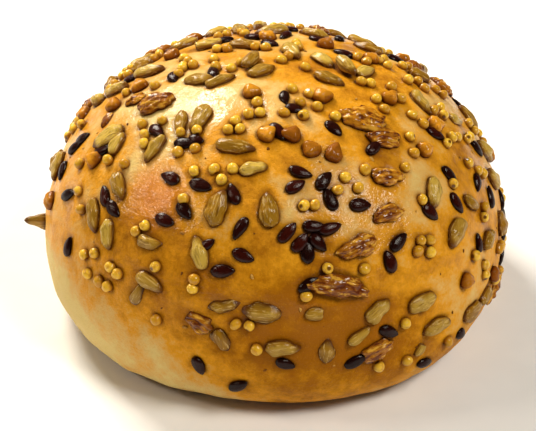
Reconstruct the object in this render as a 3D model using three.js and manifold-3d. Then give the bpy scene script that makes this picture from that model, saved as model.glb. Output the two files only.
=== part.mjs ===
// A round bread roll with a mixed-seed crust: sunflower kernels, toasted grain flakes, groats,
// linseed and millet, all baked fast to the crust, so the whole roll is one solid.
// Millimetres, +Z up. The origin is the middle of the flat foot that the roll rests on.
// The front is the -Y side.
import * as THREE from "three";
import { ConvexGeometry } from "three/addons/geometries/ConvexGeometry.js";
import { mergeVertices } from "three/addons/utils/BufferGeometryUtils.js";
import Module from "manifold-3d";

const wasm = await Module();
wasm.setup();

// The loaf without its seeds
const GIRTH_RADIUS = 49.8;
const GIRTH_HEIGHT = 14.2;
const HEIGHT = 55.2;
const CROWN_RISE = HEIGHT - GIRTH_HEIGHT;
const CROWN_POWER = 2.17; // 2 is an ellipse, more is boxier
const UNDERSIDE_DEPTH = 27.4; // where the underside would end, if the foot didn't cut it
const UNDERSIDE_POWER = 2.27;
const FOOT_SINK = 1.3; // the underside flattens towards a plane this far under the foot
const FOOT_BLEND = 8; // more is a tighter turn from flank to foot
const MIDDLE = new THREE.Vector3(0, 0, GIRTH_HEIGHT);
const LOAF_POINTS = 640;
const GOLDEN_ANGLE = Math.PI * (3 - Math.sqrt(5));
const FOOT_SIDES = 48;
const FOOT_RINGS = [0, 0.06, 0.15]; // radians above the foot's rim
const FOOT_TURN = 0.21; // radians above the rim where the even points begin
const STEEPEST_RIM = -1.2; // radians; the rim lies above this

// Slow waves that make the dough uneven: across the loaf in X, Y and Z, their phase and height
const LUMPS = [
  { wave: [2.4, 0.9, 0.5], phase: 1.44, height: 0.6 },
  { wave: [-1.3, 3.1, 1.2], phase: 1.66, height: 0.38 },
  { wave: [3.9, -2.2, 2.6], phase: 3.78, height: 0.34 },
  { wave: [5.2, 4.4, -3.0], phase: 0.85, height: 0.2 },
  { wave: [-6.5, 3.8, 5.1], phase: 2.09, height: 0.17 },
];

// Each kind of seed: its size, the share of its thickness that is sunk in the crust, the room
// that it keeps clear round itself, and how many are scattered over the loaf
const SEEDS = {
  sunflower: { length: 7.2, width: 3.5, thickness: 2.4, sunk: 0.42, room: 2.7, scattered: 48 },
  flake: { length: 7.6, width: 4.2, thickness: 2.4, sunk: 0.4, room: 2.9, scattered: 9 },
  groat: { length: 3.8, width: 3.5, thickness: 3.0, sunk: 0.4, room: 1.8, scattered: 14 },
  linseed: { length: 4.6, width: 2.5, thickness: 1.5, sunk: 0.4, room: 1.8, scattered: 24 },
  millet: { length: 2.3, width: 2.3, thickness: 2.2, sunk: 0.36, room: 1.1, scattered: 8 },
};
const LAID_MARGIN = 0.8; // more room round the seeds that are laid by hand

// The seeds on the front, as they lie when the roll is seen from in front and above: how far
// right of the middle, how far up, the turn of the pointed end in degrees and, where they
// aren't the usual ones, its length and its lift
const VIEW_ELEVATION = THREE.MathUtils.degToRad(32);
const VIEW_DISTANCE = 300;
const VIEW_AIM = new THREE.Vector3(0, 0, 25);
const VIEW_BACK = new THREE.Vector3(0, -Math.cos(VIEW_ELEVATION), Math.sin(VIEW_ELEVATION));
const VIEW_UP = new THREE.Vector3(0, Math.sin(VIEW_ELEVATION), Math.cos(VIEW_ELEVATION));
const LAID_SPREAD = THREE.MathUtils.degToRad(52); // round the line of sight; all is laid by hand
const FRONT_SEEDS = {
  sunflower: [
    [-12.3, -4.8, 72], [-1.2, -5.2, 97], [-16.2, -14.4, 105, 6.6], [-2.7, -27.6, 175, 7, -0.7],
    [-10.7, -26.1, 10, 7, -0.9], [-11.3, -33.9, -58, 6, -0.5], [2.1, -35.3, 0, 7, -0.2],
    [11.7, -35.9, 90, 5.6, -0.5], [18.6, -32.5, 38, 5.6], [22.7, -27, 45, 6.4],
    [32.3, -25.1, 28, 7.6], [35.4, -30.2, 28], [39.5, -10.1, -112], [34.5, -1.3, -92, 6.6],
    [42.8, -3.6, -40, 5.4], [46.4, -11.4, 65, 6.6], [43, -27, 45], [31.9, 18, -50, 6.4],
    [45.5, 7.5, -60], [-8.3, 8.4, -8, 7.8], [-4.5, 3.7, 8, 5.4], [-16.1, 14.4, -118, 6.6],
    [-20.2, 13.7, -100, 5.6], [-26, 8, -124, 6.8], [-33.7, -0.2, -76, 6.8], [-34, 9, 57, 6],
    [-36, 10.3, -148, 8], [-39.2, -6.6, -85, 6.6], [-36, -10.7, -88, 6.6], [-26.9, -12.4, -8, 6.2],
    [-27, -21, -35, 6], [-29.7, -23.5, 60, 5.6, -0.5], [-16.3, 22.9, 3, 6.6],
    [-11.6, 22.7, 20, 6.2], [-2.7, 24.9, 20, 6.6], [-4.9, 26.5, 45, 6.2, 1], [12, 23, -20, 6.2],
    [15.4, 24.9, -45, 6.8, 1.2], [10.4, 27.2, -35, 6.2], [-33.9, 20.7, 20],
    [9.6, -27.8, 5, 5.2, -0.3], [32, -34.8, 60, 4.8], [45.8, -23.4, 60, 6], [39.3, 14.3, -20, 5.4],
    [19.8, 24.6, 15, 6], [-27, 24.6, 15, 7.2],
  ],
  flake: [
    [14, -21.7, -8, 10], [18.3, -13.2, 25], [24.5, 2, 0, 6.6], [19.4, 14.3, -17, 9],
    [23.8, 10.4, -5, 7], [24.7, -5.9, 18, 7], [22.3, -35.8, 28, 6.8], [-25.7, 17.6, 19, 9.6],
    [-16.2, -30, -24, 6.4, -0.5], [-30, 18.6, 25, 4.6], [-36.3, 14.1, 55, 4.4],
  ],
  groat: [
    [-5, 20.1, 0], [-1.6, 11.1, 30], [3.8, 11.1, 60], [8, 7.8, 10], [12.9, 6.9, 80],
    [10.3, 19.2, 0], [24.9, 18.9, 40], [32.5, 7.8, 20], [41.7, -20.3, 0],
    [-34.6, 17.2, 0], [-29.1, 21.4, 20], [-39, 5.4, 50], [34.8, 13.2, 0], [36.3, 20.6, 10],
    [30, 25.6, 60], [47.5, -19, 0],
  ],
  linseed: [
    [-15.9, 0.1, -15], [-8.8, -1.8, 111], [-7.3, -9.2, -123], [5.7, 2.9, -20], [4.6, -0.1, 25],
    [10.8, 1.2, 54], [12.2, -2.9, 118], [18.7, -4.1, 4], [3, -10.1, 47], [8.7, -8.8, -5],
    [12.2, -9.2, 15], [5.8, -12.3, 50], [7.3, -14.4, 90], [9.6, -12.3, -50], [7.5, -21.4, 40],
    [-6.7, -15.2, -25], [-11.1, -18.5, 5], [-19.4, -5.5, -50], [-22.5, 1.7, 155],
    [-23.7, -7.6, -25], [-36.7, -2.3, 95], [-34.9, -5.2, -55], [-44.7, -2, 22], [-44.7, -13.3, 78],
    [-25.4, 11.8, -38], [-41.4, 10.2, 30], [0.8, 11.8, -48], [12.9, 12.4, -40], [21.7, 8.4, 45],
    [38.1, 2.4, -50], [33.9, -5.6, -47], [43.9, 8.2, -55], [27.1, -12, 50], [25.2, -16.3, 108],
    [25, -31.6, -20], [17.9, -38, 28], [-16.2, -39.2, -62],
    [-19.4, 9.2, 0, 4.4], [-16.9, 10, -20, 3.8], [-13.3, 24.6, 100], [-30.8, 23.3, 20],
    [-37.1, 7.6, 30], [-43.2, 8.2, 40], [2.2, 19.1, -80, 4], [4.3, 16.7, -15, 4], [35, 11.3, -30],
    [39.6, -3.7, -60], [40.6, -32, -30], [32.8, -38.3, 10], [2.6, -38.7, -15, 4.2],
    [-7.6, -43.5, 20], [-14.5, -12.8, 30, 3.8], [44.4, -12.2, 100, 4],
  ],
  millet: [
    [31.7, -11.8], [33.7, -11.6], [31.1, -14.1], [33.8, -14.3], [6.5, -4.3], [8.8, -4.2],
    [-8.2, -30], [-5.3, -30.3], [-17.2, -20.3], [-17.5, -22.3], [-35.4, -17.6], [-33.9, -19.2],
    [-36, -21.9], [-37.8, -20.8], [-40.3, -19.1], [-41, -15], [-38.8, -14.7], [-27.9, -8.7],
    [-29.8, -9.9], [-25.6, -17.6], [-25.4, -29.1], [-3.7, -35.4], [7, -23.9], [11.6, -17.8],
    [19.6, -17.9], [28.5, -29.7], [28.8, -37.7], [22.8, -39], [37.7, -33.5], [43.5, -15],
    [32, -2.9], [38.6, 0.5], [13.7, -0.9], [15.4, 1.8], [18.1, -0.4], [19.6, 3.4], [28.3, 4],
    [30.1, 7.1], [29.3, 10.6], [37.2, 9.2], [41.9, 5], [32.1, 13.4], [29.7, 15.3], [34.4, 16.3],
    [23.8, 16.5], [22, 18.7], [27.2, 18.8], [25.2, 21.3], [28.8, 22.8], [24.4, 25.8], [18.7, 22.4],
    [20.8, 22], [13.2, 14.9], [9.3, 17], [6.3, 15.1], [5.6, 18], [2.1, 15.7], [3.9, 20.8],
    [7.6, 19.8], [6.7, 25.5], [-3.7, 17.9], [-3.1, 15.7], [-5.6, 15.4], [-8.4, 13.9],
    [-9.9, 12], [-7.4, 12.2], [-8.9, 3.6], [-12.9, 3.5], [-17.2, 3], [-19.6, -2.9], [-11.3, 1.2],
    [-20.2, 11.4], [-16.7, 11.9], [-20.8, 7.2], [-17, 8], [-24.2, 13.9], [-28.5, 13.1],
    [-28, 10.9], [-28, 9], [-25.8, 21.4], [-31.9, 19.9], [-9.3, 25.2], [-7.2, 26.4], [-12.6, 25.6],
    [-35.9, 5.4], [-32.3, 4.6], [-41.9, 4.6], [-42.3, -1.3], [-41.7, -5.2], [-41.6, 13.1],
  ],
};

// One kernel stands on its end at the left of the girth
const STANDING_SEED = { azimuth: -172, rise: 7, sunkLength: 0.36 };

// Where seeds stick: the dipped crown, whose edge runs lower on the right than on the left
const SEEDED_AXIS = new THREE.Vector3(0.2, 0.02, 1).normalize();
const SEEDED_SPREAD = THREE.MathUtils.degToRad(86);
const MILLET_PAIRING = 0.4; // share of millet grains that lie against the one before
const LEAN = THREE.MathUtils.degToRad(12); // the most that a scattered seed leans

const ROOT_DEPTH = -1.3; // of a seed's thickness, so that every seed reaches into the dough
const MERGE_DISTANCE = 1e-4;
const HALVINGS = 40; // of the span in which a root is looked for

const CRUST_COLOUR = 0xc98a3a;

// A seeded row of numbers from 0 to 1, by a linear congruence
const DRAW_SEED = 20;
const DRAW_FACTOR = 1664525;
const DRAW_STEP = 1013904223;
const DRAW_SPAN = 2 ** 32;
const draw = (() => {
  let state = DRAW_SEED;
  return () => {
    state = (DRAW_FACTOR * state + DRAW_STEP) % DRAW_SPAN;
    return state / DRAW_SPAN;
  };
})();

// How far the crust lies from the loaf's middle along a unit direction
function crustReach(direction) {
  const across = Math.hypot(direction.x, direction.y) / GIRTH_RADIUS;
  const isCrown = direction.z > 0;
  const power = isCrown ? CROWN_POWER : UNDERSIDE_POWER;
  const rise = Math.abs(direction.z) / (isCrown ? CROWN_RISE : UNDERSIDE_DEPTH);
  let reach = (across ** power + rise ** power) ** (-1 / power);
  for (const { wave, phase, height } of LUMPS) {
    const turn = wave[0] * direction.x + wave[1] * direction.y + wave[2] * direction.z;
    reach += height * Math.sin(turn + phase);
  }
  if (isCrown) return reach;
  const toFoot = (GIRTH_HEIGHT + FOOT_SINK) / Math.max(-direction.z, 1e-9);
  return (reach ** -FOOT_BLEND + toFoot ** -FOOT_BLEND) ** (-1 / FOOT_BLEND);
}

function directionAt(azimuth, rise) {
  return new THREE.Vector3(
    Math.cos(rise) * Math.cos(azimuth),
    Math.cos(rise) * Math.sin(azimuth),
    Math.sin(rise),
  );
}

function crustPoint(direction) {
  return direction.clone().multiplyScalar(crustReach(direction)).add(MIDDLE);
}

// The outward normal, from two short steps along the crust
function crustNormal(direction) {
  const step = 0.02; // radians
  const side = new THREE.Vector3(-direction.y, direction.x, 0);
  if (side.lengthSq() < 1e-8) side.set(1, 0, 0);
  side.normalize();
  const over = direction.clone().cross(side);
  const slope = (axis) => {
    const ahead = direction.clone().addScaledVector(axis, step).normalize();
    const behind = direction.clone().addScaledVector(axis, -step).normalize();
    return crustPoint(ahead).sub(crustPoint(behind));
  };
  const normal = slope(side).cross(slope(over)).normalize();
  return normal.dot(direction) < 0 ? normal.negate() : normal;
}

// The rise, below the girth, at which the flank meets the foot's plane
function rimRise(azimuth) {
  let low = STEEPEST_RIM;
  let high = 0;
  for (let i = 0; i < HALVINGS; i++) {
    const rise = (low + high) / 2;
    if (crustPoint(directionAt(azimuth, rise)).z < 0) low = rise;
    else high = rise;
  }
  return high;
}

// The bare loaf: points spread evenly by the golden angle, and closer rings where it turns
// under to the foot
function loafGeometry() {
  const points = [];
  for (let i = 0; i < LOAF_POINTS; i++) {
    const azimuth = i * GOLDEN_ANGLE;
    const rise = Math.asin(1 - (2 * i + 1) / LOAF_POINTS);
    if (rise > rimRise(azimuth) + FOOT_TURN) points.push(crustPoint(directionAt(azimuth, rise)));
  }
  for (const [ring, above] of FOOT_RINGS.entries()) {
    for (let i = 0; i < FOOT_SIDES; i++) {
      const azimuth = (2 * Math.PI * (i + ring / 2)) / FOOT_SIDES;
      const point = crustPoint(directionAt(azimuth, rimRise(azimuth) + above));
      points.push(ring === 0 ? point.setZ(0) : point);
    }
  }
  return new ConvexGeometry(points);
}

// The direction, from the loaf's middle, of the spot that lies at a place in the front view
function directionSeenAt(right, up) {
  const eye = VIEW_AIM.clone().addScaledVector(VIEW_BACK, VIEW_DISTANCE);
  const aim = VIEW_AIM.clone().add(new THREE.Vector3(right, 0, 0)).addScaledVector(VIEW_UP, up);
  const ray = aim.sub(eye);
  const offset = (share) => eye.clone().addScaledVector(ray, share).sub(MIDDLE);
  let outside = 0; // as a share of the ray
  let inside = MIDDLE.clone().sub(eye).dot(ray) / ray.lengthSq();
  for (let i = 0; i < HALVINGS; i++) {
    const share = (outside + inside) / 2;
    const place = offset(share);
    if (place.length() > crustReach(place.clone().normalize())) outside = share;
    else inside = share;
  }
  return offset(inside).normalize();
}

// A seed with few faces: its outline just above the crust, a smaller top, and one root deep in
// the dough. shape(angle) gives the outline's reach as a share of half the length and width.
function seedGeometry({ length, width, thickness }, { sides, topSides, topShare, shape }) {
  const corner = (angle, share, height) =>
    new THREE.Vector3(
      (length / 2) * share * Math.cos(angle),
      (width / 2) * share * Math.sin(angle),
      thickness * height,
    );
  const corners = [corner(0, 0, ROOT_DEPTH)];
  for (let i = 0; i < sides; i++) {
    const angle = (2 * Math.PI * i) / sides;
    corners.push(corner(angle, shape(angle), 0));
  }
  for (let i = 0; i < topSides; i++) {
    const angle = (2 * Math.PI * (i + 0.5)) / topSides;
    corners.push(corner(angle, topShare, 0.5));
  }
  return new ConvexGeometry(corners);
}

// A kernel is blunt at one end and pointed at the other
const kernel = (angle) => 1 - 0.16 * Math.sin(angle) ** 2 * (1 + 1.2 * Math.cos(angle));
const oval = () => 1;
const torn = (angle) => 1 + 0.14 * Math.sin(3 * angle + 0.7) + 0.08 * Math.sin(5 * angle);
const threeCornered = (angle) => 1 + 0.12 * Math.cos(3 * angle);

const FACETS = {
  sunflower: { sides: 6, topSides: 2, topShare: 0.56, shape: kernel },
  flake: { sides: 7, topSides: 2, topShare: 0.7, shape: torn },
  groat: { sides: 6, topSides: 3, topShare: 0.6, shape: threeCornered },
  linseed: { sides: 6, topSides: 2, topShare: 0.5, shape: oval },
  millet: { sides: 5, topSides: 1, topShare: 0, shape: oval },
};

// The frame of a seed that lies on the crust: its long side along heading, its flat side down
function restingFrame(kind, direction, heading, { scale = 1, lift = 0, lean = 0 }) {
  const { thickness, sunk } = SEEDS[kind];
  const normal = crustNormal(direction);
  const long = heading.clone().addScaledVector(normal, -heading.dot(normal)).normalize();
  const tilted = normal.clone().applyAxisAngle(long, lean);
  const rise = scale * thickness * (0.5 - sunk) + lift;
  const place = crustPoint(direction).addScaledVector(normal, rise);
  const frame = new THREE.Matrix4().makeBasis(long, tilted.clone().cross(long), tilted);
  return frame.scale(new THREE.Vector3(scale, scale, scale)).setPosition(place);
}

// The seeds laid on the front by hand
function frontSpots() {
  const spots = [];
  for (const [kind, rows] of Object.entries(FRONT_SEEDS)) {
    for (const [right, up, turn = 0, length = SEEDS[kind].length, lift = 0] of rows) {
      const angle = THREE.MathUtils.degToRad(turn);
      const direction = directionSeenAt(right, up);
      const ahead = directionSeenAt(right + Math.cos(angle), up + Math.sin(angle));
      const heading = crustPoint(ahead).sub(crustPoint(direction));
      const scale = length / SEEDS[kind].length;
      const frame = restingFrame(kind, direction, heading, { scale, lift });
      spots.push({ kind, direction, frame, room: SEEDS[kind].room + LAID_MARGIN });
    }
  }
  return spots;
}

// Whether a spot is in the middle of the front or too close to a seed that is laid already
function isTaken(direction, kind, spots) {
  if (direction.angleTo(VIEW_BACK) < LAID_SPREAD) return true;
  const place = crustPoint(direction);
  const reach = (spot) => spot.room + SEEDS[kind].room;
  return spots.some((spot) => place.distanceTo(crustPoint(spot.direction)) < reach(spot));
}

// Seeds scattered over the rest of the crown, the largest kinds first
function scatterSpots(spots) {
  for (const [kind, { scattered, width, room }] of Object.entries(SEEDS)) {
    let last = null;
    let laid = 0;
    while (laid < scattered) {
      const height = draw() * 2 - 1;
      const azimuth = draw() * 2 * Math.PI;
      const turn = draw() * 2 * Math.PI;
      const lean = (draw() * 2 - 1) * LEAN;
      const isPaired = draw() < MILLET_PAIRING && kind === "millet" && last !== null;
      const direction = directionAt(azimuth, Math.asin(height));
      if (isPaired) {
        const aside = direction.clone().cross(last).normalize();
        direction.copy(last).addScaledVector(aside, width / crustReach(last)).normalize();
      }
      if (direction.angleTo(SEEDED_AXIS) > SEEDED_SPREAD) continue;
      if (!isPaired && isTaken(direction, kind, spots)) continue;
      const heading = directionAt(turn, 0).addScaledVector(new THREE.Vector3(0, 0, 1), Math.sin(turn));
      spots.push({ kind, direction, frame: restingFrame(kind, direction, heading, { lean }), room });
      last = isPaired ? null : direction;
      laid += 1;
    }
  }
  return spots;
}

// The kernel that stands out from the flank on its blunt end
function standingFrame() {
  const { azimuth, rise, sunkLength } = STANDING_SEED;
  const direction = directionAt(THREE.MathUtils.degToRad(azimuth), THREE.MathUtils.degToRad(rise));
  const long = crustNormal(direction);
  const side = new THREE.Vector3(0, 1, 0).cross(long).normalize();
  const lift = SEEDS.sunflower.length * (0.5 - sunkLength);
  const place = crustPoint(direction).addScaledVector(long, lift);
  return new THREE.Matrix4().makeBasis(long, side, long.clone().cross(side)).setPosition(place);
}

function asSolid(geometry) {
  const bare = geometry.deleteAttribute("normal");
  const merged = mergeVertices(bare, MERGE_DISTANCE);
  return new wasm.Manifold(
    new wasm.Mesh({
      numProp: 3,
      vertProperties: merged.getAttribute("position").array,
      triVerts: new Uint32Array(merged.index.array),
    }),
  );
}

function seedSolid(kind, frame) {
  return asSolid(seedGeometry(SEEDS[kind], FACETS[kind]).applyMatrix4(frame));
}

// Of the bodies in a solid the largest, which leaves out sealed hollows and loose scraps
function outerBody(solid) {
  return solid.decompose().reduce((a, b) => (b.volume() > a.volume() ? b : a));
}

function asGeometry(solid) {
  const { vertProperties, numProp, numVert, triVerts } = solid.getMesh();
  const places = new Float32Array(numVert * 3);
  for (let i = 0; i < numVert; i++) {
    places.set(vertProperties.subarray(i * numProp, i * numProp + 3), i * 3);
  }
  const geometry = new THREE.BufferGeometry();
  geometry.setAttribute("position", new THREE.BufferAttribute(places, 3));
  geometry.setIndex(new THREE.BufferAttribute(new Uint32Array(triVerts), 1));
  geometry.computeVertexNormals();
  return geometry;
}

function seededRoll() {
  const seeds = scatterSpots(frontSpots()).map(({ kind, frame }) => seedSolid(kind, frame));
  const standing = seedSolid("sunflower", standingFrame());
  return asGeometry(outerBody(wasm.Manifold.union([asSolid(loafGeometry()), ...seeds, standing])));
}

const crust = new THREE.MeshStandardMaterial({ color: CRUST_COLOUR, roughness: 0.45, metalness: 0 });
const roll = new THREE.Mesh(seededRoll(), crust);
roll.name = "bread_roll";

const group = new THREE.Group();
group.add(roll);
export default group;
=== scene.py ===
"""The looks of a round seeded bread roll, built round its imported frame.

Sizes and places are millimetres in the roll's own frame, and MM turns them into metres. The
loaf's form and the places of its seeds follow the same rules as the solid: the middle of the
foot is the origin, +Z is up and the front is the -Y side. Colours are linear.
"""

import functools
import math

import bpy
import numpy as np
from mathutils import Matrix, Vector


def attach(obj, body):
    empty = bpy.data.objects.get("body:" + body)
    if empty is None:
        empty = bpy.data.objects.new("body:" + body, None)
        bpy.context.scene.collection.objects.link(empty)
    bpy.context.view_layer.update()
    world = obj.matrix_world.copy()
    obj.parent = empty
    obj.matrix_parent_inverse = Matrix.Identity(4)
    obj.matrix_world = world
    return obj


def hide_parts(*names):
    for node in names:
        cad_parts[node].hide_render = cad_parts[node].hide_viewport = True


MM = 0.001
NODE = "bread_roll"

# The loaf without its seeds
GIRTH_RADIUS = 49.8
GIRTH_HEIGHT = 14.2
HEIGHT = 55.2
CROWN_RISE = HEIGHT - GIRTH_HEIGHT
CROWN_POWER = 2.17
UNDERSIDE_DEPTH = 27.4
UNDERSIDE_POWER = 2.27
FOOT_SINK = 1.3
FOOT_BLEND = 8
MIDDLE = np.array([0, 0, GIRTH_HEIGHT])
STEEPEST_RIM = -1.2  # the rise below the girth that the rim never reaches
HALVINGS = 40  # of a span that is searched
NORMAL_STEP = 0.02
POLE_WIDTH = 1e-4
TINY = 1e-9  # in place of 0 where something is divided by it

# Slow waves that make the dough uneven: wave, phase and height
LUMPS = (
    ((2.4, 0.9, 0.5), 1.44, 0.6),
    ((-1.3, 3.1, 1.2), 1.66, 0.38),
    ((3.9, -2.2, 2.6), 3.78, 0.34),
    ((5.2, 4.4, -3.0), 0.85, 0.2),
    ((-6.5, 3.8, 5.1), 2.09, 0.17),
)

# Each kind of seed: length, width, thickness, the share of its thickness that is sunk, the room
# that it keeps clear, how many are scattered in the solid, and how many more only here
SEEDS = {
    "sunflower": dict(size=(7.2, 3.5, 2.4), sunk=0.42, room=2.7, scattered=48, extra=0),
    "flake": dict(size=(7.6, 4.2, 2.4), sunk=0.4, room=2.9, scattered=9, extra=3),
    "groat": dict(size=(3.8, 3.5, 3.0), sunk=0.4, room=1.8, scattered=14, extra=8),
    "linseed": dict(size=(4.6, 2.5, 1.5), sunk=0.4, room=1.8, scattered=24, extra=22),
    "millet": dict(size=(2.3, 2.3, 2.2), sunk=0.36, room=1.1, scattered=8, extra=130),
}
LAID_MARGIN = 0.8  # the further room round a seed that is laid one by one

# The camera's view of the front
VIEW_ELEVATION = math.radians(32)
VIEW_DISTANCE = 300
VIEW_AIM = np.array([0, 0, 25])
LAID_SPREAD = math.radians(52)  # round the line of sight, where every seed is laid one by one

# The seeds on the front, as they lie in that view: how far right, how far up, the turn of the
# pointed end in degrees and, where they aren't the usual ones, its length and its lift
FRONT_SEEDS = {
    "sunflower": [
        [-12.3, -4.8, 72], [-1.2, -5.2, 97], [-16.2, -14.4, 105, 6.6], [-2.7, -27.6, 175, 7, -0.7],
        [-10.7, -26.1, 10, 7, -0.9], [-11.3, -33.9, -58, 6, -0.5], [2.1, -35.3, 0, 7, -0.2],
        [11.7, -35.9, 90, 5.6, -0.5], [18.6, -32.5, 38, 5.6], [22.7, -27, 45, 6.4],
        [32.3, -25.1, 28, 7.6], [35.4, -30.2, 28], [39.5, -10.1, -112], [34.5, -1.3, -92, 6.6],
        [42.8, -3.6, -40, 5.4], [46.4, -11.4, 65, 6.6], [43, -27, 45], [31.9, 18, -50, 6.4],
        [45.5, 7.5, -60], [-8.3, 8.4, -8, 7.8], [-4.5, 3.7, 8, 5.4], [-16.1, 14.4, -118, 6.6],
        [-20.2, 13.7, -100, 5.6], [-26, 8, -124, 6.8], [-33.7, -0.2, -76, 6.8], [-34, 9, 57, 6],
        [-36, 10.3, -148, 8], [-39.2, -6.6, -85, 6.6], [-36, -10.7, -88, 6.6],
        [-26.9, -12.4, -8, 6.2], [-27, -21, -35, 6], [-29.7, -23.5, 60, 5.6, -0.5],
        [-16.3, 22.9, 3, 6.6], [-11.6, 22.7, 20, 6.2], [-2.7, 24.9, 20, 6.6],
        [-4.9, 26.5, 45, 6.2, 1], [12, 23, -20, 6.2], [15.4, 24.9, -45, 6.8, 1.2],
        [10.4, 27.2, -35, 6.2], [-33.9, 20.7, 20],
        [9.6, -27.8, 5, 5.2, -0.3], [32, -34.8, 60, 4.8], [45.8, -23.4, 60, 6], [39.3, 14.3, -20, 5.4],
        [19.8, 24.6, 15, 6], [-27, 24.6, 15, 7.2],
    ],
    "flake": [
        [14, -21.7, -8, 10], [18.3, -13.2, 25], [24.5, 2, 0, 6.6], [19.4, 14.3, -17, 9],
        [23.8, 10.4, -5, 7], [24.7, -5.9, 18, 7], [22.3, -35.8, 28, 6.8], [-25.7, 17.6, 19, 9.6],
        [-16.2, -30, -24, 6.4, -0.5], [-30, 18.6, 25, 4.6], [-36.3, 14.1, 55, 4.4],
    ],
    "groat": [
        [-5, 20.1, 0], [-1.6, 11.1, 30], [3.8, 11.1, 60], [8, 7.8, 10], [12.9, 6.9, 80],
        [10.3, 19.2, 0], [24.9, 18.9, 40], [32.5, 7.8, 20], [41.7, -20.3, 0],
        [-34.6, 17.2, 0], [-29.1, 21.4, 20], [-39, 5.4, 50], [34.8, 13.2, 0], [36.3, 20.6, 10],
        [30, 25.6, 60], [47.5, -19, 0],
    ],
    "linseed": [
        [-15.9, 0.1, -15], [-8.8, -1.8, 111], [-7.3, -9.2, -123], [5.7, 2.9, -20], [4.6, -0.1, 25],
        [10.8, 1.2, 54], [12.2, -2.9, 118], [18.7, -4.1, 4], [3, -10.1, 47], [8.7, -8.8, -5],
        [12.2, -9.2, 15], [5.8, -12.3, 50], [7.3, -14.4, 90], [9.6, -12.3, -50], [7.5, -21.4, 40],
        [-6.7, -15.2, -25], [-11.1, -18.5, 5], [-19.4, -5.5, -50], [-22.5, 1.7, 155],
        [-23.7, -7.6, -25], [-36.7, -2.3, 95], [-34.9, -5.2, -55], [-44.7, -2, 22],
        [-44.7, -13.3, 78], [-25.4, 11.8, -38], [-41.4, 10.2, 30], [0.8, 11.8, -48],
        [12.9, 12.4, -40], [21.7, 8.4, 45], [38.1, 2.4, -50], [33.9, -5.6, -47], [43.9, 8.2, -55],
        [27.1, -12, 50], [25.2, -16.3, 108], [25, -31.6, -20], [17.9, -38, 28],
        [-16.2, -39.2, -62],
        [-19.4, 9.2, 0, 4.4], [-16.9, 10, -20, 3.8], [-13.3, 24.6, 100], [-30.8, 23.3, 20],
        [-37.1, 7.6, 30], [-43.2, 8.2, 40], [2.2, 19.1, -80, 4], [4.3, 16.7, -15, 4], [35, 11.3, -30],
        [39.6, -3.7, -60], [40.6, -32, -30], [32.8, -38.3, 10], [2.6, -38.7, -15, 4.2],
        [-7.6, -43.5, 20], [-14.5, -12.8, 30, 3.8], [44.4, -12.2, 100, 4],
    ],
    "millet": [
        [31.7, -11.8], [33.7, -11.6], [31.1, -14.1], [33.8, -14.3], [6.5, -4.3], [8.8, -4.2],
        [-8.2, -30], [-5.3, -30.3], [-17.2, -20.3], [-17.5, -22.3], [-35.4, -17.6], [-33.9, -19.2],
        [-36, -21.9], [-37.8, -20.8], [-40.3, -19.1], [-41, -15], [-38.8, -14.7], [-27.9, -8.7],
        [-29.8, -9.9], [-25.6, -17.6], [-25.4, -29.1], [-3.7, -35.4], [7, -23.9], [11.6, -17.8],
        [19.6, -17.9], [28.5, -29.7], [28.8, -37.7], [22.8, -39], [37.7, -33.5], [43.5, -15],
        [32, -2.9], [38.6, 0.5], [13.7, -0.9], [15.4, 1.8], [18.1, -0.4], [19.6, 3.4], [28.3, 4],
        [30.1, 7.1], [29.3, 10.6], [37.2, 9.2], [41.9, 5], [32.1, 13.4], [29.7, 15.3], [34.4, 16.3],
        [23.8, 16.5], [22, 18.7], [27.2, 18.8], [25.2, 21.3], [28.8, 22.8], [24.4, 25.8], [18.7, 22.4],
        [20.8, 22], [13.2, 14.9], [9.3, 17], [6.3, 15.1], [5.6, 18], [2.1, 15.7], [3.9, 20.8],
        [7.6, 19.8], [6.7, 25.5], [-3.7, 17.9], [-3.1, 15.7], [-5.6, 15.4], [-8.4, 13.9],
        [-9.9, 12], [-7.4, 12.2], [-8.9, 3.6], [-12.9, 3.5], [-17.2, 3], [-19.6, -2.9], [-11.3, 1.2],
        [-20.2, 11.4], [-16.7, 11.9], [-20.8, 7.2], [-17, 8], [-24.2, 13.9], [-28.5, 13.1],
        [-28, 10.9], [-28, 9], [-25.8, 21.4], [-31.9, 19.9], [-9.3, 25.2], [-7.2, 26.4], [-12.6, 25.6],
        [-35.9, 5.4], [-32.3, 4.6], [-41.9, 4.6], [-42.3, -1.3], [-41.7, -5.2], [-41.6, 13.1],
    ],
}

# One kernel stands on its end at the left of the girth
STANDING_AZIMUTH = math.radians(-172)
STANDING_RISE = math.radians(7)
STANDING_SUNK_LENGTH = 0.36

# Where seeds stick: the dipped crown, whose edge runs lower on the right than on the left
SEEDED_AXIS = np.array([0.2, 0.02, 1]) / math.hypot(0.2, 0.02, 1)
SEEDED_SPREAD = math.radians(86)
MILLET_PAIRING = 0.4  # the share of scattered millet with a second grain beside it
LEAN = math.radians(12)  # the most that a scattered seed leans
SPECKS = 130

# The photograph's frame in pixels, and the pixel at which VIEW_AIM lies
PHOTO_WIDTH = 536
PHOTO_HEIGHT = 431
AIM_PIXEL = (274, 186)
PIXELS_PER_MM = 4.6

# The fine crust
CRUST_SEGMENTS = 440
CRUST_RINGS = 205
FOOT_RINGS = 10

# The rule that scatters the seeds, a linear congruence
DRAW_SEED = 20
DRAW_FACTOR = 1664525
DRAW_STEP = 1013904223
DRAW_SPAN = 2**32


class Draw:
    """A seeded row of numbers from 0 to 1, the same as the solid's."""

    def __init__(self, state):
        self.state = state

    def __call__(self):
        self.state = (DRAW_FACTOR * self.state + DRAW_STEP) % DRAW_SPAN
        return self.state / DRAW_SPAN


def unit(vector):
    return vector / np.linalg.norm(vector, axis=-1, keepdims=True)


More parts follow.
